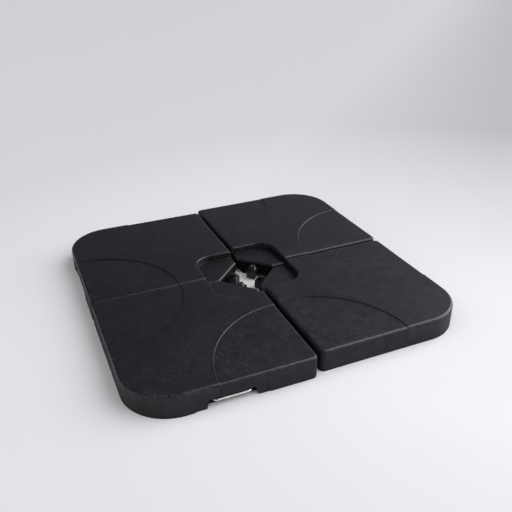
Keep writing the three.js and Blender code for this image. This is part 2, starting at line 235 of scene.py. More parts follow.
def closed_outline(corners, step=None):
    """Outline through corners (x, y, radius), with round corners."""
    points = []
    for i, (x, y, *rest) in enumerate(corners):
        before, after = corners[i - 1][:2], corners[(i + 1) % len(corners)][:2]
        points += round_corner(before, (x, y), after, *rest)
    if step:
        points = divided(points + points[:1], step)[:-1]
    return points


def weight_outline(inset, step=None):
    """The weight's outline moved inwards. Every inset has the same number of points in its round corners."""
    near = INNER_CUT + inset * (math.sqrt(2) - 1)
    far = SIDE - inset
    corners = [
        (near, inset, CUT_CORNER),
        (far, inset, SEAM_CORNER),
        (far, far, OUTER_CORNER),
        (inset, far, SEAM_CORNER),
        (inset, near, CUT_CORNER),
    ]
    sweeps = (math.pi / 4, math.pi / 2, math.pi / 2, math.pi / 2, math.pi / 4)
    rounded = [
        (x, y, max(radius - inset, 0.6), arc_steps(sweep, radius))
        for (x, y, radius), sweep in zip(corners, sweeps)
    ]
    return closed_outline(rounded, step)


def recess_line(grow, step=None):
    """The recess's edge in one weight, from seam to seam and a little beyond both."""
    reach = RECESS_HALF + grow
    start, corner, end = Vector((reach, -BEYOND)), Vector((reach, reach)), Vector((-BEYOND, reach))
    points = [start, *round_corner(start, corner, end, RECESS_CORNER + grow, 16), end]
    return divided(points, step) if step else points


def field_outline(halves, height, grow):
    """A field of the outer side as (x, z), narrower at its top and open towards the floor."""
    half_floor, half_top = halves[0] + grow, halves[1] + grow
    slant = (half_floor - half_top) / (height + grow)
    foot = half_floor + slant * BEYOND
    radius = max(FIELD_CORNER + grow, 0.5)
    return closed_outline(
        [
            (GRIP_CENTRE - foot, -BEYOND, 0),
            (GRIP_CENTRE + foot, -BEYOND, 0),
            (GRIP_CENTRE + half_top, height + grow, radius, 8),
            (GRIP_CENTRE - half_top, height + grow, radius, 8),
        ]
    )


def filleted(points, radii, steps):
    """An open line with its inner corners rounded."""
    vectors = [Vector(p) for p in points]
    result = [vectors[0]]
    for before, here, after, radius in zip(vectors, vectors[1:], vectors[2:], radii):
        result += round_corner(before, here, after, radius, steps)
    return result + [vectors[-1]]


# ---- closed meshes --------------------------------------------------------------


def make_object(name, vertices, faces):
    """An object from millimetres, with its faces turned outwards."""
    mesh = bpy.data.meshes.new(name)
    mesh.from_pydata([tuple(c * MM for c in v) for v in vertices], [], faces)
    model = bmesh.new()
    model.from_mesh(mesh)
    bmesh.ops.recalc_face_normals(model, faces=model.faces)
    if model.calc_volume(signed=True) < 0:
        bmesh.ops.reverse_faces(model, faces=model.faces)
    model.to_mesh(mesh)
    model.free()
    made = bpy.data.objects.new(name, mesh)
    bpy.context.collection.objects.link(made)
    return made


def loft(name, rings, closed=False):
    """A solid through rings with the same number of points: capped at its ends, or closed on itself."""
    count = len(rings[0])
    vertices = [point for ring in rings for point in ring]
    faces = []
    for k in range(len(rings) if closed else len(rings) - 1):
        low, high = k * count, (k + 1) % len(rings) * count
        for i in range(count):
            j = (i + 1) % count
            faces.append((low + i, low + j, high + j, high + i))
    if not closed:
        faces.append(tuple(reversed(range(count))))
        faces.append(tuple(range(len(vertices) - count, len(vertices))))
    return make_object(name, vertices, faces)


def slab(name, outline, low, high):
    return loft(name, [[(x, y, z) for x, y in outline] for z in (low, high)])


def box(name, x, y, z):
    return slab(name, [(x[0], y[0]), (x[1], y[0]), (x[1], y[1]), (x[0], y[1])], *z)


def circle(radius, steps):
    """Points of a circle. radius is a number or a function of the angle."""
    angles = [2 * math.pi * k / steps for k in range(steps)]
    reach = radius if callable(radius) else (lambda angle: radius)
    return [(reach(a) * math.cos(a), reach(a) * math.sin(a), a) for a in angles]


def turned(name, profile, steps, closed=True):
    """A solid of revolution about Z, through (radius, z). Either may be a function of the angle."""
    rings = []
    for radius, z in profile:
        height = z if callable(z) else (lambda angle, z=z: z)
        rings.append([(x, y, height(a)) for x, y, a in circle(radius, steps)])
    return loft(name, rings, closed)


def moved(item, matrix):
    """The object with its mesh moved by a matrix in millimetres."""
    matrix = matrix.copy()
    matrix.translation *= MM
    item.data.transform(matrix)
    return item


def upright(item, x, y):
    return moved(item, Matrix.Translation((x, y, 0)))


def along_leg(item, x):
    """Turns a piece made about Z onto a handle leg's axis, with +Z along +Y."""
    return moved(item, Matrix.Translation((x, 0, ROD_HEIGHT)) @ Matrix.Rotation(-math.pi / 2, 4, "X"))


def at_inner_cut(item):
    """Lays a piece made with +X from the inner cut towards the centre of the row."""
    turn = Matrix.Rotation(math.radians(-135), 4, "Z")
    return moved(item, Matrix.Translation((CUT_MIDDLE, CUT_MIDDLE, 0)) @ turn)


def combine(item, others, operation="DIFFERENCE"):
    """Cuts the others away from the item, or joins them to it."""
    for other in others:
        cut = item.modifiers.new("cut", "BOOLEAN")
        cut.object = other
        cut.operation = operation
        cut.solver = "MANIFOLD"
        evaluated = item.evaluated_get(bpy.context.evaluated_depsgraph_get())
        old = item.data
        item.data = bpy.data.meshes.new_from_object(evaluated)
        item.modifiers.clear()
        bpy.data.meshes.remove(old)
        bpy.data.objects.remove(other)
    return item


# ---- cutters ---------------------------------------------------------------------

FLARE_STEPS = 5


def flared_field(name, halves, height, surface, depth, lip, root, taper=0.0):
    """A cutter for a field of the outer side, with a round edge in front and a round corner behind."""
    levels = [(-BEYOND, lip)]
    for k in range(FLARE_STEPS + 1):
        angle = math.pi / 2 * k / FLARE_STEPS
        levels.append((lip * (1 - math.cos(angle)), lip * (1 - math.sin(angle))))
    for k in range(FLARE_STEPS + 1):
        angle = math.pi / 2 * k / FLARE_STEPS
        levels.append((depth - root + root * math.sin(angle), -taper - root + root * math.cos(angle)))
    rings = []
    for inward, grow in levels:
        y = SIDE - surface - inward
        rings.append([(x, y, z) for x, z in field_outline(halves, height, grow)])
    return loft(name, rings)


def grip_cutters(depth=GRIP_DEPTH):
    """The shallow field round the hand-hold, and the hand-hold itself."""
    relief = flared_field("relief", RELIEF_HALVES, RELIEF_HEIGHT, 0, RELIEF_DEPTH, lip=1.2, root=0.9)
    inner = depth - RELIEF_DEPTH
    pocket = flared_field("pocket", GRIP_HALVES, GRIP_HEIGHT, RELIEF_DEPTH, inner, lip=1.3, root=3, taper=0.5)
    return [relief, pocket]


def channel_cutters():
    """The two half channels, with a round ceiling corner and softened edges at the seams."""
    lip = CHANNEL_HEIGHT + CHANNEL_LIP
    corners = [(-BEYOND, lip), (0, lip), (CHANNEL_LIP, CHANNEL_HEIGHT), (CHANNEL_WIDTH, CHANNEL_HEIGHT)]
    ceiling = filleted([*corners, (CHANNEL_WIDTH, -BEYOND)], [0, 0, CHANNEL_FILLET], 6)
    section = [tuple(p) for p in ceiling] + [(-BEYOND, -BEYOND)]
    ends = (-BEYOND, CHANNEL_END)
    along_x = [[(x, y, z) for y, z in section] for x in ends]
    along_y = [[(x, y, z) for x, z in section] for y in ends]
    return [loft("channel_x", along_x), loft("channel_y", along_y)]


def grown_blocks(grow):
    """The hollows of one weight as plain blocks, each grown by a wall."""
    run, across = (-BEYOND, CHANNEL_END + grow), (-BEYOND, CHANNEL_WIDTH + grow)
    height = (-BEYOND, CHANNEL_HEIGHT + grow)
    recess = [tuple(p) for p in recess_line(grow)] + [(-BEYOND, -BEYOND)]
    blocks = [
        slab("recess_block", recess, HEIGHT - RECESS_DEPTH - grow, HEIGHT + BEYOND),
        box("channel_block_x", run, across, height),
        box("channel_block_y", across, run, height),
    ]
    for halves, field_height, depth in (
        (GRIP_HALVES, GRIP_HEIGHT, GRIP_DEPTH),
        (RELIEF_HALVES, RELIEF_HEIGHT, RELIEF_DEPTH),
    ):
        outline = field_outline(halves, field_height, grow)
        ends = (SIDE + BEYOND, SIDE - depth - grow)
        blocks.append(loft("field_block", [[(x, y, z) for x, z in outline] for y in ends]))
    return blocks


def bar(name, diameter, low, high, steps=24):
    return turned(name, [(diameter / 2, low), (diameter / 2, high)], steps, closed=False)


def hole_cutters():
    """Bores for the bushes and screws, and the slot that the lug comes out of."""
    ends = (BUSH_SHOULDER - BUSH_LENGTH - LEG_ROOM, SIDE - GRIP_DEPTH + BEYOND / 4)
    cutters = [along_leg(bar("bush_bore", BUSH_OUTER + 2 * CLEAR, *ends), x) for x in LEGS]
    for place in BOSS_PLACES:
        cutters.append(upright(bar("screw_bore", SCREW + 2 * CLEAR, -BEYOND, SCREW_TIP + 3), *place))
    along, across = (-LUG_TAIL - CLEAR, BEYOND), (-LUG_WIDTH / 2 - CLEAR, LUG_WIDTH / 2 + CLEAR)
    slot = box("lug_slot", along, across, (LUG_TOP - LUG_THICK - CLEAR, LUG_TOP + CLEAR))
    return cutters + [at_inner_cut(slot)]


# ---- the moulded cover -------------------------------------------------------------

GRID = 15  # millimetres between the points of a flat face
RIM_MARGIN = 3  # kept free of them, beside the rim
RECESS_MARGIN = 12
PANEL_MARGIN = 5
RIM_STEPS = 7
RIM_ANGLES = [math.pi / 2 * k / RIM_STEPS for k in range(RIM_STEPS + 1)]
RIM_INSETS = [RIM_RADIUS * (1 - math.cos(a)) for a in RIM_ANGLES]
RIM_DROPS = [RIM_RADIUS * (1 - math.sin(a)) for a in RIM_ANGLES]

# Across the recess's edge: distance inwards, and depth below the top face.
RECESS_SLOPE = (RECESS_DEPTH - RECESS_LIP) / RECESS_TAPER
RECESS_PROFILE = filleted(
    [
        (-BEYOND, 0),
        (-RECESS_LIP / RECESS_SLOPE, 0),
        (RECESS_TAPER, RECESS_DEPTH),
        (RECESS_TAPER + BEYOND, RECESS_DEPTH),
    ],
    [4.6, 1],
    6,
)
PANEL_PROFILE = filleted([(-4, 0), (-0.8, 0), (0.8, PANEL_STEP), (4, PANEL_STEP)], [1.3, 1.0], 3)


def recess_inwards(x, y):
    """Distance inside the recess's edge, and below zero outside it."""
    qx, qy = (c - (RECESS_HALF - RECESS_CORNER) for c in (x, y))
    outside = np.hypot(np.maximum(qx, 0), np.maximum(qy, 0))
    return RECESS_CORNER - outside - np.minimum(np.maximum(qx, qy), 0)


def panel_inwards(x, y):
    """Distance inside the edge of the nearer panel, and below zero outside both."""
    return PANEL_RADIUS - np.minimum(np.hypot(x - SIDE, y), np.hypot(x, y - SIDE))


def outline_inwards(x, y):
    """Distance inside the weight's outline."""
    points = np.array([tuple(p) for p in weight_outline(0)])
    ends = np.roll(points, -1, axis=0)
    best = np.full(len(x), 1e9)
    for (ax, ay), (bx, by) in zip(points, ends):
        length = max(math.hypot(bx - ax, by - ay), 1e-9)
        share = np.clip(((x - ax) * (bx - ax) + (y - ay) * (by - ay)) / length**2, 0, 1)
        best = np.minimum(best, np.hypot(x - ax - share * (bx - ax), y - ay - share * (by - ay)))
    return best


def top_height(x, y):
    """Height of the cover's upper surface."""
    recess = np.interp(recess_inwards(x, y), [p.x for p in RECESS_PROFILE], [p.y for p in RECESS_PROFILE])
    panel = np.interp(panel_inwards(x, y), [p.x for p in PANEL_PROFILE], [p.y for p in PANEL_PROFILE])
    rim = np.interp(outline_inwards(x, y), RIM_INSETS, RIM_DROPS)
    return HEIGHT - recess - panel - rim


def panel_arc(grow):
    """Edge of the panel round the seam corner at (SIDE, 0)."""
    radius = PANEL_RADIUS + grow
    angles = [math.radians(a) for a in np.linspace(84, 186, 69)]
    return [Vector((SIDE + radius * math.cos(a), radius * math.sin(a))) for a in angles]


def cover_top():
    """Vertices and faces of the cover's upper surface, with an edge along every ring, step and fillet."""
    points, edges = [], []

    def add_line(line, closed):
        first = len(points)
        points.extend(Vector(p) for p in line)
        edges.extend((first + k, first + k + 1) for k in range(len(line) - 1))
        if closed:
            edges.append((first + len(line) - 1, first))

    for inset in RIM_INSETS:
        add_line(weight_outline(inset, GRID), True)
    for knot in RECESS_PROFILE[1:-1]:
        add_line(recess_line(-knot.x, GRID), False)
    for knot in PANEL_PROFILE[1:-1]:
        arc = panel_arc(-knot.x)
        add_line(arc, False)
        add_line([p.yx for p in arc], False)
    steps = np.arange(GRID / 2, SIDE, GRID)
    x, y = (c.ravel() for c in np.meshgrid(steps, steps))
    free = (outline_inwards(x, y) > RIM_RADIUS + RIM_MARGIN) & (x + y > INNER_CUT + 2 * RIM_RADIUS)
    free &= np.abs(recess_inwards(x, y)) > RECESS_MARGIN
    free &= np.abs(panel_inwards(x, y)) > PANEL_MARGIN
    points.extend(Vector(p) for p in zip(x[free], y[free]))
    flat, _, faces, *_ = delaunay_2d_cdt(points, edges, [], 0, 1e-5)
    outline = np.array([tuple(p) for p in weight_outline(0, GRID)])
    xy = np.array([tuple(p) for p in flat])
    middles = np.array([xy[list(f)].mean(axis=0) for f in faces])
    kept = [f for f, inside in zip(faces, inside_outline(middles, outline)) if inside]
    used = sorted({v for f in kept for v in f})
    number = {v: k for k, v in enumerate(used)}
    xy = xy[used]
    z = top_height(xy[:, 0], xy[:, 1])
    faces = [tuple(number[v] for v in f) for f in kept]
    return np.column_stack([xy, z]), faces


def inside_outline(places, outline):
    """Which places lie inside a convex outline."""
    ends = np.roll(outline, -1, axis=0)
    inside = np.ones(len(places), bool)
    for a, b in zip(outline, ends):
        inside &= (b[0] - a[0]) * (places[:, 1] - a[1]) - (b[1] - a[1]) * (places[:, 0] - a[0]) > -1e-4
    return inside


def edge_loop(faces):
    """The open edge of a surface, in order."""
    onward = {}
    for face in faces:
        for a, b in zip(face, face[1:] + face[:1]):
            onward[(a, b)] = True
    following = {a: b for a, b in onward if (b, a) not in onward}
    start = next(iter(following))
    loop = [start]
    while following[loop[-1]] != start:
        loop.append(following[loop[-1]])
    return loop


FOOT_EDGE = ((0.0, 1.0), (0.3, 0.3), (1.0, 0.0))  # inwards, and above the cover's foot


def cover_brick():
    """The cover's outer shape, filled."""
    top, faces = cover_top()
    loop = edge_loop(faces)
    edge = top[loop, :2]
    along = np.roll(edge, -1, axis=0) - np.roll(edge, 1, axis=0)
    along /= np.linalg.norm(along, axis=1)[:, None]
    inwards = np.column_stack([-along[:, 1], along[:, 0]])
    vertices = [tuple(v) for v in top]
    ring = loop
    for inset, above in FOOT_EDGE:
        first = len(vertices)
        vertices += [(x, y, COVER_FOOT + above) for x, y in edge + inset * inwards]
        below = list(range(first, first + len(loop)))
        for k in range(len(loop)):
            j = (k + 1) % len(loop)
            faces.append((ring[j], ring[k], below[k], below[j]))
        ring = below
    faces.append(tuple(reversed(ring)))
    return make_object("cover", vertices, faces)


def moulded_cover():
    """The cover: hollow, with bosses for its screws and walls round all its hollows."""
    brick = cover_brick()
    bosses = [upright(bar("boss", BOSS, -2 * BEYOND, HEIGHT), *place) for place in BOSS_PLACES]
    hollow = slab("hollow", weight_outline(WALL), -BEYOND, HEIGHT - WALL)
    hollow = combine(hollow, grown_blocks(WALL) + bosses)
    return combine(brick, [hollow, *grip_cutters(), *channel_cutters(), *hole_cutters()])


def moulded_base():
    """The cover of the underside, with soft edges and countersunk screw holes."""
    levels = [(1.2, 0), (0.35, 0.35), (0, 1.2)]
    levels += [(0, BASE_PLATE - 0.7), (0.2, BASE_PLATE - 0.2), (0.7, BASE_PLATE)]
    plate = loft("base", [[(x, y, z) for x, y in weight_outline(inset)] for inset, z in levels])
    sunk = SCREW_SUNK + SCREW_HEAD_THICK + CLEAR
    wide, narrow, chamfer = SCREW_HEAD / 2 + CLEAR, SCREW / 2 + CLEAR, 0.8
    profile = [(wide + chamfer + BEYOND, -BEYOND), (wide + chamfer, 0), (wide, chamfer), (wide, sunk)]
    profile += [(narrow, sunk)]
    profile += [(narrow, BASE_PLATE + 1)]
    holes = [upright(turned("screw_hole", profile, 32, closed=False), *place) for place in BOSS_PLACES]
    return combine(plate, [*channel_cutters(), *grip_cutters(GRIP_FLOOR_DEPTH), *holes])


# ---- handle, bushes and stops --------------------------------------------------------


def ring_of(name, inner, outer, low, high, edge, steps=32):
    """A turned ring with round edges."""
    corners = [(inner, low, edge, 2), (outer, low, edge, 3), (outer, high, edge, 3), (inner, high, edge, 2)]
    return turned(name, [tuple(p) for p in closed_outline(corners)], steps)


def wire_handle():
    """The bent wire: two legs and a bar, with softened ends."""
    end = STOP_FOOT - LEG_TIP
    bar_place = SIDE - ROD_SETBACK
    line = filleted(
        [(LEGS[0], end), (LEGS[0], bar_place), (LEGS[1], bar_place), (LEGS[1], end)],
        [ROD_BEND, ROD_BEND],
        12,
    )
    soft = 0.8
    path = [line[0], line[0] + Vector((0, soft * 0.3)), line[0] + Vector((0, soft)), *line[1:-1]]
    path += [line[-1] + Vector((0, soft)), line[-1] + Vector((0, soft * 0.3)), line[-1]]
    radii = [ROD / 2 - soft, ROD / 2 - soft * 0.3] + [ROD / 2] * (len(path) - 4)
    radii += [ROD / 2 - soft * 0.3, ROD / 2 - soft]
    rings = []
    for k, (place, radius) in enumerate(zip(path, radii)):
        before, after = path[max(k - 1, 0)], path[min(k + 1, len(path) - 1)]
        onward = (after - before).normalized()
        sideways = Vector((-onward.y, onward.x))
        rings.append(
            [
                (place.x + sideways.x * a, place.y + sideways.y * a, ROD_HEIGHT + b)
                for a, b, _ in circle(radius, 24)
            ]
        )
    return loft("wire", rings)


def leg_bush(x):
    """A flanged sleeve round a leg, with a round edge at its mouth."""
    bore, sleeve, flange = ROD / 2 + CLEAR, BUSH_OUTER / 2, BUSH_FLANGE / 2
    corners = [(bore, BUSH_BACK, 0.5, 2), (sleeve, BUSH_BACK, 0.5, 2), (sleeve, BUSH_SHOULDER, 0)]
    corners += [(flange, BUSH_SHOULDER, 0), (flange, BUSH_FRONT, 1.2, 5), (bore, BUSH_FRONT, 0.6, 3)]
    return along_leg(turned("bush", [tuple(p) for p in closed_outline(corners)], 36), x)


def end_stop(x):
    ring = ring_of("stop", ROD / 2 + CLEAR, STOP_OUTER / 2, STOP_FOOT, STOP_FOOT + STOP_THICK, 0.5)
    return along_leg(ring, x)


# ---- lug, bolt, washer, nut and screws ------------------------------------------------


def bent_lug():
    """A bent steel plate with soft edges, and a hole for its bolt."""
    under = LUG_TOP - LUG_THICK

    def section(inset):
        tail, tip = -LUG_TAIL + inset, LUG_REACH - inset
        return closed_outline(
            [
                (tail, LUG_TOP - LUG_ANCHOR + inset, 0.6, 3),
                (-LUG_TAIL + LUG_THICK - inset, LUG_TOP - LUG_ANCHOR + inset, 0.6, 3),
                (-LUG_TAIL + LUG_THICK - inset, under + inset, 0.8, 4),
                (LUG_REACH - LUG_THICK + inset, under + inset, 0.8, 4),
                (LUG_REACH - LUG_THICK + inset, LUG_FOOT + inset, 0.6, 3),
                (tip, LUG_FOOT + inset, 0.6, 3),
                (tip, LUG_TOP - inset, 5, 8),
                (tail, LUG_TOP - inset, 5, 8),
            ]
        )

    half = LUG_WIDTH / 2
    levels = [(-half, 0.5), (-half + 0.15, 0.15), (-half + 0.5, 0)]
    levels += [(half - 0.5, 0), (half - 0.15, 0.15), (half, 0.5)]
    plate = loft("lug", [[(x, y, z) for x, z in section(inset)] for y, inset in levels])
    end, upper = LUG_REACH - LUG_THICK + 1, under + 1
    cheek = closed_outline([(CLEAR, LUG_FOOT, 3, 6), (end, LUG_FOOT, 0), (end, upper, 0), (CLEAR, upper, 0)])
    for outer in (0.1 - half, half - 0.1):
        inner = outer - math.copysign(LUG_CHEEK, outer)
        combine(plate, [loft("cheek", [[(x, y, z) for x, z in cheek] for y in (outer, inner)])], "UNION")
    hole = upright(bar("lug_hole", BOLT + 2 * CLEAR, under - 1, LUG_TOP + 1, 48), BOLT_REACH, 0)
    return at_inner_cut(combine(plate, [hole]))


def hex_reach(angle):
    """Distance from a hexagon's centre to its side."""
    turn = math.pi / 3
    return HEX_ACROSS_FLATS / 2 / math.cos((angle % turn) - turn / 2)


HEX_TOP = HEX_ACROSS_FLATS / 2 * 0.95  # radius of the flat that a hexagon's chamfer leaves
CHAMFER_SLOPE = math.tan(math.radians(30))


def chamfer_drop(angle):
    return (hex_reach(angle) - HEX_TOP) * CHAMFER_SLOPE


def thread_radius(z, end):
    """Radius of the bolt at a height, as a function of the angle."""
    taper = max(0.0, THREAD_TAPER - (z - end))

    def radius(angle):
        turn = (z / THREAD_PITCH + angle / (2 * math.pi)) % 1
        groove = min(1, max(0, 1.25 * (1 - abs(2 * turn - 1)) - 0.1))
        return BOLT / 2 - max(THREAD_DEPTH * groove, taper)

    return radius


def hex_bolt():
    """A hexagon bolt with a chamfered head, a plain neck and a thread."""
    end = HEAD_FOOT - BOLT_LENGTH
    neck = HEAD_FOOT - BOLT_NECK
    heights = np.arange(end, neck, THREAD_PITCH / THREAD_RINGS)
    profile = [(thread_radius(z, end), z) for z in heights]
    profile += [(BOLT / 2, neck + 0.4), (BOLT / 2, HEAD_FOOT - 0.3), (BOLT / 2 + 0.3, HEAD_FOOT)]
    profile += [(HEX_TOP, HEAD_FOOT), (hex_reach, lambda angle: HEAD_FOOT + 0.3 * chamfer_drop(angle))]
    top = HEAD_FOOT + BOLT_HEAD
    profile += [(hex_reach, lambda angle: top - chamfer_drop(angle)), (HEX_TOP, top)]
    return at_inner_cut(upright(turned("bolt", profile, 48, closed=False), BOLT_REACH, 0))


def round_washer():
    bore, top = BOLT / 2 + CLEAR, WASHER_FOOT + WASHER_THICK
    ring = ring_of("washer", bore, WASHER_OUTER / 2, WASHER_FOOT, top, 0.5, 64)
    return at_inner_cut(upright(ring, BOLT_REACH, 0))


def hex_nut():
    top = LUG_TOP - LUG_THICK - CLEAR
    low = top - NUT_THICK
    bore = BOLT / 2 + CLEAR
    profile = [
        (bore, low + 0.7),
        (bore + 0.7, low),
        (HEX_TOP, low),
        (hex_reach, lambda angle: low + chamfer_drop(angle)),
        (hex_reach, lambda angle: top - chamfer_drop(angle)),
        (HEX_TOP, top),
        (bore + 0.7, top),
        (bore, top - 0.7),
    ]
    return at_inner_cut(upright(turned("nut", profile, 48), BOLT_REACH, 0))


def pan_screw(place):
    """A slotted screw, head down."""
    neck = SCREW_SUNK + SCREW_HEAD_THICK
    head = SCREW_HEAD / 2
    profile = [(head - 1.6, SCREW_SUNK), (head - 0.7, SCREW_SUNK + 0.25), (head - 0.15, SCREW_SUNK + 0.9)]
    profile += [(head, SCREW_SUNK + 1.5), (head, neck), (SCREW / 2, neck), (SCREW / 2, SCREW_TIP - 2)]
    profile += [(0.4, SCREW_TIP)]
    body = turned("screw", profile, 32, closed=False)
    half = SLOT_WIDTH / 2
    slot = box("slot", (-SCREW_HEAD, SCREW_HEAD), (-half, half), (-1, SCREW_SUNK + SLOT_DEPTH))
    turn = Matrix.Rotation(math.radians(place[0] * 1.7), 4, "Z")
    return moved(combine(body, [slot]), Matrix.Translation((*place, 0)) @ turn)


# ---- materials ------------------------------------------------------------------------


class Nodes:
    """A material's node tree, and short ways to add to it."""

    def __init__(self, name):
        self.material = bpy.data.materials.new(name)
        self.material.use_nodes = True
        self.tree = self.material.node_tree
        self.shader = self.tree.nodes["Principled BSDF"]
        self.place = self.add("ShaderNodeTexCoord").outputs["Object"]
        self.normal = self.add("ShaderNodeNewGeometry").outputs["Normal"]

    def add(self, kind, values=(), **settings):
        """A new node, with its inputs set or linked from values and its own settings set."""
        node = self.tree.nodes.new(kind)
        for key, value in settings.items():
            setattr(node, key, value)
        for key, value in dict(values).items():
            if isinstance(value, bpy.types.NodeSocket):
                self.tree.links.new(value, node.inputs[key])
            else:
                node.inputs[key].default_value = value
        return node

    def noise(self, scale, detail=2.0, roughness=0.5, stretch=None):
        place = self.place
        if stretch:
            place = self.add("ShaderNodeMapping", {"Vector": place, "Scale": stretch}).outputs[0]
        values = {"Vector": place, "Scale": scale, "Detail": detail, "Roughness": roughness}
        return self.add("ShaderNodeTexNoise", values).outputs["Fac"]

    def cells(self, scale, output="Distance"):
        values = {"Vector": self.place, "Scale": scale}
        return self.add("ShaderNodeTexVoronoi", values).outputs[output]

    def towards(self, direction):
        """How far each place lies in a direction, in metres for a direction of length 1."""
        values = {0: self.place, 1: direction}
        return self.add("ShaderNodeVectorMath", values, operation="DOT_PRODUCT").outputs["Value"]

    def attribute(self, name):
        return self.add("ShaderNodeAttribute", attribute_name=name).outputs["Fac"]

    def spread(self, value, low, high, to_low=0.0, to_high=1.0):
        """Maps a value from one span to another, and no further."""
        values = {"Value": value, "From Min": low, "From Max": high, "To Min": to_low, "To Max": to_high}
        return self.add("ShaderNodeMapRange", values).outputs["Result"]

    def facing_up(self):
        """1 on a face that looks up and 0 on an upright one."""
        height = self.add("ShaderNodeSeparateXYZ", {"Vector": self.normal}).outputs["Z"]
        return self.spread(height, 0.1, 0.6)

    def times(self, a, b):
        return self.add("ShaderNodeMath", {0: a, 1: b}, operation="MULTIPLY").outputs[0]

    def mix(self, factor, a, b):
        node = self.add("ShaderNodeMix", {"Factor": factor}, data_type="RGBA")
        for socket, value in ((node.inputs[6], a), (node.inputs[7], b)):
            if isinstance(value, bpy.types.NodeSocket):
                self.tree.links.new(value, socket)
            else:
                socket.default_value = value
        return node.outputs[2]

    def bump(self, height, depth_mm, strength=1.0, below=None):
        values = {"Height": height, "Distance": depth_mm * MM, "Strength": strength}
        if below is not None:
            values["Normal"] = below
        return self.add("ShaderNodeBump", values).outputs["Normal"]

    def finish(self, **sockets):
        """Sets or links the shader's sockets, whose names are given with _ for a space."""
        for key, value in sockets.items():
            socket = self.shader.inputs[key.replace("_", " ")]
            if isinstance(value, bpy.types.NodeSocket):
                self.tree.links.new(value, socket)
            else:
                socket.default_value = value
        return self.material


def grey(value, blue=1.0):
    return (value, value, value * blue, 1)


SHEEN_AND_DUST_SIDE = (0.45, -0.9, 0)  # the tops are painted a little lighter towards here, a painted sheen from the light on that side, and are a little dustier there


def plastic_material():
    """Moulded black plastic: a fine pitted grain, faint clouds, dust and scuffed edges, with painted shade in
    its steps and on its inner cut's wall, and a painted sheen towards one side.
    """
    n = Nodes("moulded_plastic")
    clouds = n.spread(n.noise(14, 4, 0.6), 0.3, 0.7)
    patches = n.spread(n.noise(95, 3, 0.6), 0.4, 0.66)
    up = n.facing_up()
    speckle = n.times(n.spread(n.noise(430, 3, 0.65), 0.55, 0.66), n.spread(up, 0, 1, 0.3, 1))
    # Painted sheen and dust: rises towards one side of the row, where the light falls.
    sheen_and_dust = n.spread(n.towards(SHEEN_AND_DUST_SIDE), -0.12, 0.4)
    dark_dots = n.spread(n.cells(70), 0.07, 0.03)
    flecks = n.times(n.spread(n.noise(230, 2, 0.6), 0.57, 0.68), n.spread(n.noise(13, 2), 0.36, 0.56))
    flecks = n.times(n.times(flecks, up), n.spread(sheen_and_dust, 0, 0.6, 0.12, 0.75))
    dust = n.spread(n.noise(300, 3, 0.7), 0.6, 0.66)
    dusty = n.times(dust, n.spread(n.noise(11, 3), 0.42, 0.6))
    scratches = n.spread(n.noise(130, 3, 0.7, (1, 0.12, 1)), 0.62, 0.7)
    scuffs = n.times(scratches, n.spread(n.noise(9, 2), 0.5, 0.62))
    rubbed = n.attribute("wear")
    painted_shade = n.attribute("painted_shade")
    worn = n.times(rubbed, n.spread(n.noise(75, 4, 0.65), 0.42, 0.66))

    # The colour, layer over layer.
    colour = n.mix(clouds, grey(0.0045, 1.3), grey(0.0065, 1.28))
    colour = n.mix(n.times(n.times(patches, 0.3), up), colour, grey(0.0105, 1.25))
    # Painted sheen: lighter blotches, more of them towards that side.
    colour = n.mix(n.times(sheen_and_dust, n.spread(n.noise(26, 4, 0.6), 0.3, 0.65, 0.1, 0.5)), colour, grey(0.02, 1.2))
    colour = n.mix(n.times(speckle, n.spread(sheen_and_dust, 0, 1, 0.5, 0.9)), colour, grey(0.026, 1.2))
    colour = n.mix(flecks, colour, grey(0.058, 1.2))
    colour = n.mix(n.times(dark_dots, 0.8), colour, grey(0.002, 1.2))
    colour = n.mix(n.times(n.times(dusty, 0.75), up), colour, grey(0.07, 1.1))
    colour = n.mix(n.times(scuffs, 0.25), colour, grey(0.05, 1.05))
    colour = n.mix(n.times(worn, 0.5), colour, grey(0.05, 1.08))
    # Painted shade: near black in the panel's step, at the recess's foot and on the inner cut's wall.
    colour = n.mix(n.times(painted_shade, 0.9), colour, grey(0.0012, 1.2))

    # Rubbed edges are smoother and upright faces are duller.
    roughness = n.spread(n.noise(40, 4, 0.6), 0.3, 0.7, 0.34, 0.44)
    roughness = n.times(roughness, n.spread(rubbed, 0, 1, 1, 0.72))
    roughness = n.times(roughness, n.spread(up, 0, 1, 1.7, 1))
    pits = n.bump(n.cells(1150), 0.06, 0.6)
    grain = n.bump(n.noise(620, 4, 0.7), 0.13, 0.7, pits)
    waves = n.bump(n.noise(7, 2, 0.4), 1.6, 0.2, grain)
    # The painted shade also dulls the gloss of upright faces there.
    gloss = n.spread(up, 0, 1, n.spread(painted_shade, 0, 1, 0.31, 0.12), 0.47)
    return n.finish(
        Base_Color=colour,
        Roughness=roughness,
        Normal=waves,
        Specular_IOR_Level=gloss,
        Specular_Tint=(0.97, 0.94, 1, 1),
    )


def chrome_material():
    """Bright plated wire with faint drawing lines and a few dull spots."""
    n = Nodes("bright_wire")
    spots = n.spread(n.noise(420, 3, 0.6), 0.62, 0.72)
    colour = n.mix(n.times(spots, 0.2), grey(0.98, 1.01), grey(0.6, 0.95))
    roughness = n.spread(n.noise(300, 4, 0.7), 0.3, 0.7, 0.3, 0.42)
    lines = n.bump(n.noise(700, 2, 0.6, (0.05, 1, 1)), 0.012, 0.35)
    return n.finish(Base_Color=colour, Roughness=roughness, Normal=lines, Metallic=1.0)


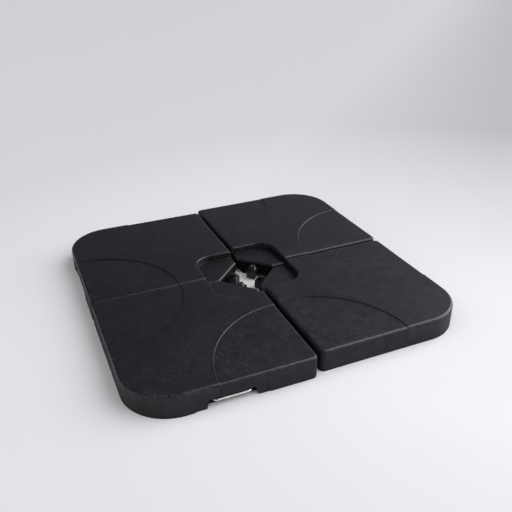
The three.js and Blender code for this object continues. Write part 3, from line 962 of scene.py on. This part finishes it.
def zinc_material():
    """Zinc plating: a grey spangle with dull patches."""
    n = Nodes("zinc_plating")
    spangle = n.cells(380, output="Color")
    tone = n.add("ShaderNodeSeparateColor", {"Color": spangle}).outputs[0]
    dull = n.spread(n.noise(160, 4, 0.65), 0.45, 0.65)
    colour = n.mix(tone, grey(0.22, 1.03), grey(0.32, 1.02))
    colour = n.mix(n.times(dull, 0.6), colour, grey(0.1, 1.0))
    roughness = n.spread(n.noise(220, 3, 0.6), 0.3, 0.7, 0.2, 0.36)
    grain = n.bump(n.noise(900, 3), 0.02, 0.4)
    return n.finish(Base_Color=colour, Roughness=roughness, Normal=grain, Metallic=1.0)


def painted_steel_material():
    """Satin black powder coat, chipped to grey here and there."""
    n = Nodes("black_coat")
    chips = n.spread(n.noise(240, 3, 0.6), 0.7, 0.73)
    colour = n.mix(n.spread(n.noise(90, 3), 0.35, 0.65), grey(0.004, 1.1), grey(0.008, 1.08))
    colour = n.mix(n.times(chips, 0.4), colour, grey(0.09))
    roughness = n.spread(n.noise(200, 3, 0.6), 0.3, 0.7, 0.34, 0.5)
    grain = n.bump(n.noise(650, 3, 0.5), 0.06, 0.5)
    return n.finish(Base_Color=colour, Roughness=roughness, Normal=grain, Specular_IOR_Level=0.36)


def nylon_material():
    """Dull black nylon."""
    n = Nodes("black_nylon")
    colour = n.mix(n.spread(n.noise(200, 3), 0.35, 0.65), grey(0.008, 1.1), grey(0.014, 1.08))
    roughness = n.spread(n.noise(300, 3, 0.6), 0.3, 0.7, 0.42, 0.58)
    return n.finish(Base_Color=colour, Roughness=roughness, Normal=n.bump(n.noise(800, 2), 0.03, 0.4))


def concrete_material():
    """Cast concrete: grey clouds, sand grains and air holes."""
    n = Nodes("cast_concrete")
    colour = n.mix(n.spread(n.noise(12, 5, 0.6), 0.3, 0.7), (0.23, 0.225, 0.21, 1), (0.34, 0.33, 0.31, 1))
    colour = n.mix(n.times(n.spread(n.noise(700, 2), 0.55, 0.7), 0.5), colour, (0.13, 0.125, 0.12, 1))
    holes = n.spread(n.cells(120), 0.12, 0.22)
    sand = n.bump(n.noise(600, 4, 0.7), 0.3, 0.6)
    return n.finish(Base_Color=colour, Roughness=0.94, Normal=n.bump(holes, 0.8, 0.6, sand))


# ---- laying the pieces ---------------------------------------------------------------

SHARP_ANGLE = math.radians(38)


def wear_of(points):
    """How exposed each point of the cover is, from 0 on a flat to 1 on a round edge."""
    x, y, z = points.T / MM
    rim = np.interp(outline_inwards(x, y), [0, RIM_RADIUS * 0.7, RIM_RADIUS * 1.6], [1, 1, 0])
    rim *= np.clip((z - (HEIGHT - RIM_RADIUS - 2)) / 4, 0, 1)
    rim *= np.interp(np.minimum(x, y), [RIM_RADIUS, 3 * RIM_RADIUS], [0.3, 1])
    recess = np.interp(recess_inwards(x, y), [-RECESS_LIP * 1.8, -1.5, 1.5, 5], [0, 1, 0.6, 0])
    return np.clip(np.maximum(rim, recess), 0, 1)


def painted_shade_of(points):
    """How much painted shade each point gets: in the panel's step, at the recess's foot and on the wall of
    the inner cut.
    """
    x, y, z = points.T / MM
    panel = np.interp(np.abs(panel_inwards(x, y)), [0.7, 1.8], [0.45, 0])
    foot = np.interp(np.abs(recess_inwards(x, y) - RECESS_TAPER), [0.5, 3], [0.8, 0])
    upper = np.maximum(panel, foot) * (z > HEIGHT - RECESS_DEPTH - 2)
    wall = np.interp(x + y, [INNER_CUT + 4, INNER_CUT + 9], [1, 0])
    return np.maximum(upper, wall * np.clip((HEIGHT - RECESS_DEPTH - 4 - z) / 3, 0, 1))


def lay(model, corner, name, body, node, slot):
    """A copy of a weight's piece, laid in one corner of the row."""
    mesh = model.data.copy()
    mesh.name = name
    if name.startswith("moulded_cover"):
        points = np.empty(len(mesh.vertices) * 3, np.float32)
        mesh.vertices.foreach_get("co", points)
        # wear is real edge wear; the second attribute is painted shade for the panel's step, the recess's
        # foot and the inner cut's wall
        for label, measure in (("wear", wear_of), ("painted_shade", painted_shade_of)):
            attribute = mesh.attributes.new(label, "FLOAT", "POINT")
            attribute.data.foreach_set("value", measure(points.reshape(-1, 3)).astype(np.float32))
    mesh.transform(PLACES[corner])
    mesh.materials.clear()
    mesh.materials.append(MATERIALS[slot])
    mesh.shade_smooth()
    mesh.set_sharp_from_angle(angle=SHARP_ANGLE)
    item = bpy.data.objects.new(name, mesh)
    bpy.context.collection.objects.link(item)
    smooth = item.modifiers.new("smooth", "WEIGHTED_NORMAL")
    smooth.keep_sharp = True
    smooth.weight = 80
    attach(item, body)
    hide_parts(node)
    return item


WAVE_DEPTH = 0.45
WAVE_SCALE = 9.0  # waves to the metre
WAVE_FADE = 3  # millimetres below the recess's floor over which the waves fade


def soften_top(item):
    """Gives a cover's broad faces the slight waviness of a moulding."""
    for vertex in item.data.vertices:
        exposed = min(1.0, max(0.0, (vertex.co.z / MM - HEIGHT + RECESS_DEPTH + WAVE_FADE) / WAVE_FADE))
        sink = 0.5 + 0.5 * noise.noise(vertex.co * WAVE_SCALE)
        vertex.co.z -= WAVE_DEPTH * MM * exposed * sink


MATERIALS = {
    "black_plastic": plastic_material(),
    "bright_steel": chrome_material(),
    "zinc_steel": zinc_material(),
    "black_steel": painted_steel_material(),
    "black_nylon": nylon_material(),
    "concrete": concrete_material(),
}

# Each piece: its model, the name of the new pieces, the CAD nodes they stand for,
# the first word of its body's name, and its material slot.
PIECES = [
    (moulded_cover(), "moulded_cover", "top_cover", "weight", "black_plastic"),
    (moulded_base(), "moulded_base", "base_cover", "weight", "black_plastic"),
    (wire_handle(), "wire_handle", "carry_handle", "handle", "bright_steel"),
    (leg_bush(LEGS[0]), "leg_bush_a", "handle_bush_a", "weight", "black_nylon"),
    (leg_bush(LEGS[1]), "leg_bush_b", "handle_bush_b", "weight", "black_nylon"),
    (end_stop(LEGS[0]), "end_stop_a", "handle_stop_a", "handle", "zinc_steel"),
    (end_stop(LEGS[1]), "end_stop_b", "handle_stop_b", "handle", "zinc_steel"),
    (bent_lug(), "bent_lug", "fixing_lug", "weight", "black_steel"),
    (hex_bolt(), "hex_bolt", "lug_bolt", "weight", "zinc_steel"),
    (round_washer(), "round_washer", "lug_washer", "weight", "zinc_steel"),
    (hex_nut(), "hex_nut", "lug_nut", "weight", "zinc_steel"),
]
PIECES += [
    (pan_screw(place), f"pan_screw_{k}", f"cover_screw_{k}", "weight", "zinc_steel")
    for k, place in enumerate(BOSS_PLACES, 1)
]

BLACK_BOLTS = ("back_left", "front_right")  # weights whose bolt, washer and nut are black

for corner in CORNERS:
    for model, name, node, body, slot in PIECES:
        if corner in BLACK_BOLTS and node.startswith("lug_"):
            slot = "black_steel"
        names = [f"{word}_{corner}" for word in (name, body, node)]
        item = lay(model, corner, *names, slot)
        if name == "moulded_cover":
            soften_top(item)
    core = frame["nodes"][f"concrete_core_{corner}"]
    for holder in core.material_slots:
        holder.material = MATERIALS["concrete"]
for model, *_ in PIECES:
    bpy.data.objects.remove(model)

# ---- floor, light and camera ------------------------------------------------------------

FLOOR_HALF = 30
PAINTED_POOL_PLACE = (0.5, -0.6, 0)  # metres, the centre of the pool of light painted on the floor
PAINTED_DIM_SIDE = (1, -1, 0)  # where the painted dimming of the far floor is darkest


def floor():
    """A broad pale floor with a painted pool of light round one place, growing dimmer away from it with
    painted shade.
    """
    n = Nodes("studio_floor")
    tone = n.mix(n.spread(n.noise(3, 2), 0.3, 0.7), grey(0.865, 1.03), grey(0.875, 1.03))
    # Painted light: the floor's colour is palest round one place and darkens away from it, most towards one
    # far side.
    away = n.add("ShaderNodeVectorMath", {0: n.place, 1: PAINTED_POOL_PLACE}, operation="DISTANCE").outputs["Value"]
    far = n.mix(n.spread(n.towards(PAINTED_DIM_SIDE), -0.5, 1.0), grey(0.66, 1.03), grey(0.49, 1.03))
    tone = n.mix(n.spread(away, 0.3, 2.2), tone, far)
    n.finish(Base_Color=tone, Roughness=0.6, Specular_IOR_Level=0.2)
    mesh = bpy.data.meshes.new("studio_floor")
    corners = [(-FLOOR_HALF, -FLOOR_HALF, 0), (FLOOR_HALF, -FLOOR_HALF, 0)]
    corners += [(FLOOR_HALF, FLOOR_HALF, 0), (-FLOOR_HALF, FLOOR_HALF, 0)]
    mesh.from_pydata(corners, [], [(0, 1, 2, 3)])
    mesh.materials.append(n.material)
    plane = bpy.data.objects.new("studio_floor", mesh)
    bpy.context.collection.objects.link(plane)


def sun(name, direction, **settings):
    """A far lamp that shines from a direction. Its angle is how wide it looks."""
    data = bpy.data.lights.new(name, "SUN")
    for key, value in settings.items():
        setattr(data, key, value)
    lamp = bpy.data.objects.new(name, data)
    towards = Vector(direction).normalized()
    lamp.matrix_world = towards.to_track_quat("Z", "Y").to_matrix().to_4x4()
    bpy.context.collection.objects.link(lamp)
    return lamp


BACKDROP_SIDE = (0.93, 0.37, 0)  # where the far wall is lit brightest
BACKDROP_GLOW = 0.46
ROOM_GLOW = 0.042
ROOM_COLOUR = (0.98, 0.95, 1.1, 1)


def lit_backdrop():
    """A dim room whose far wall is lit up to a little above the horizon."""
    world = bpy.data.worlds.new("studio")
    world.use_nodes = True
    nodes, links = world.node_tree.nodes, world.node_tree.links

    def math_node(operation, *values):
        node = nodes.new("ShaderNodeMath")
        node.operation = operation
        for socket, value in zip(node.inputs, values):
            if isinstance(value, bpy.types.NodeSocket):
                links.new(value, socket)
            else:
                socket.default_value = value
        return node.outputs[0]

    def share(value, low, high):
        node = nodes.new("ShaderNodeMapRange")
        node.interpolation_type = "SMOOTHSTEP"
        links.new(value, node.inputs["Value"])
        node.inputs["From Min"].default_value = low
        node.inputs["From Max"].default_value = high
        return node.outputs["Result"]

    direction = nodes.new("ShaderNodeTexCoord").outputs["Generated"]
    split = nodes.new("ShaderNodeSeparateXYZ")
    links.new(direction, split.inputs[0])
    side = nodes.new("ShaderNodeVectorMath")
    side.operation = "DOT_PRODUCT"
    links.new(direction, side.inputs[0])
    side.inputs[1].default_value = BACKDROP_SIDE
    low_down = math_node("SUBTRACT", 1.0, share(split.outputs["Z"], 0.06, 0.66))
    glow = math_node("MULTIPLY", low_down, share(side.outputs["Value"], 0.0, 0.95))
    background = nodes["Background"]
    background.inputs["Color"].default_value = ROOM_COLOUR
    links.new(math_node("MULTIPLY_ADD", glow, BACKDROP_GLOW, ROOM_GLOW), background.inputs["Strength"])
    bpy.context.scene.world = world


def studio():
    """A broad key light and its gloss from the right, and a soft fill from the left."""
    sun("key", (1.0, -0.27, 0.84), energy=2.85, angle=math.radians(71))
    side = sun("side", (1.0, 0.35, 0.62), energy=0.55, angle=math.radians(34))
    side.visible_diffuse = False
    fill = sun("fill", (-0.68, -0.5, 0.75), energy=1.9, angle=math.radians(120))
    fill.visible_glossy = False
    lit_backdrop()
    bpy.context.scene.view_settings.view_transform = "Standard"


CAMERA_PLACE = (-0.6707, -1.62997, 1.0568)
CAMERA_YAW = math.radians(-23.422)
CAMERA_PITCH = math.radians(28.199)
CAMERA_ROLL = math.radians(-0.395)
CAMERA_LENS = 43.41  # millimetres, for a picture 36 mm wide


def camera():
    back = Vector(
        (
            math.sin(CAMERA_YAW) * math.cos(CAMERA_PITCH),
            -math.cos(CAMERA_YAW) * math.cos(CAMERA_PITCH),
            math.sin(CAMERA_PITCH),
        )
    )
    right = Vector((0, 0, 1)).cross(back).normalized()
    up = back.cross(right)
    turn = Matrix((right, up, back)).transposed().to_4x4()
    data = bpy.data.cameras.new("camera")
    data.sensor_width = 36
    data.lens = CAMERA_LENS
    data.clip_end = 200
    item = bpy.data.objects.new("camera", data)
    item.matrix_world = Matrix.Translation(CAMERA_PLACE) @ turn @ Matrix.Rotation(CAMERA_ROLL, 4, "Z")
    bpy.context.collection.objects.link(item)
    bpy.context.scene.camera = item


floor()
studio()
camera()
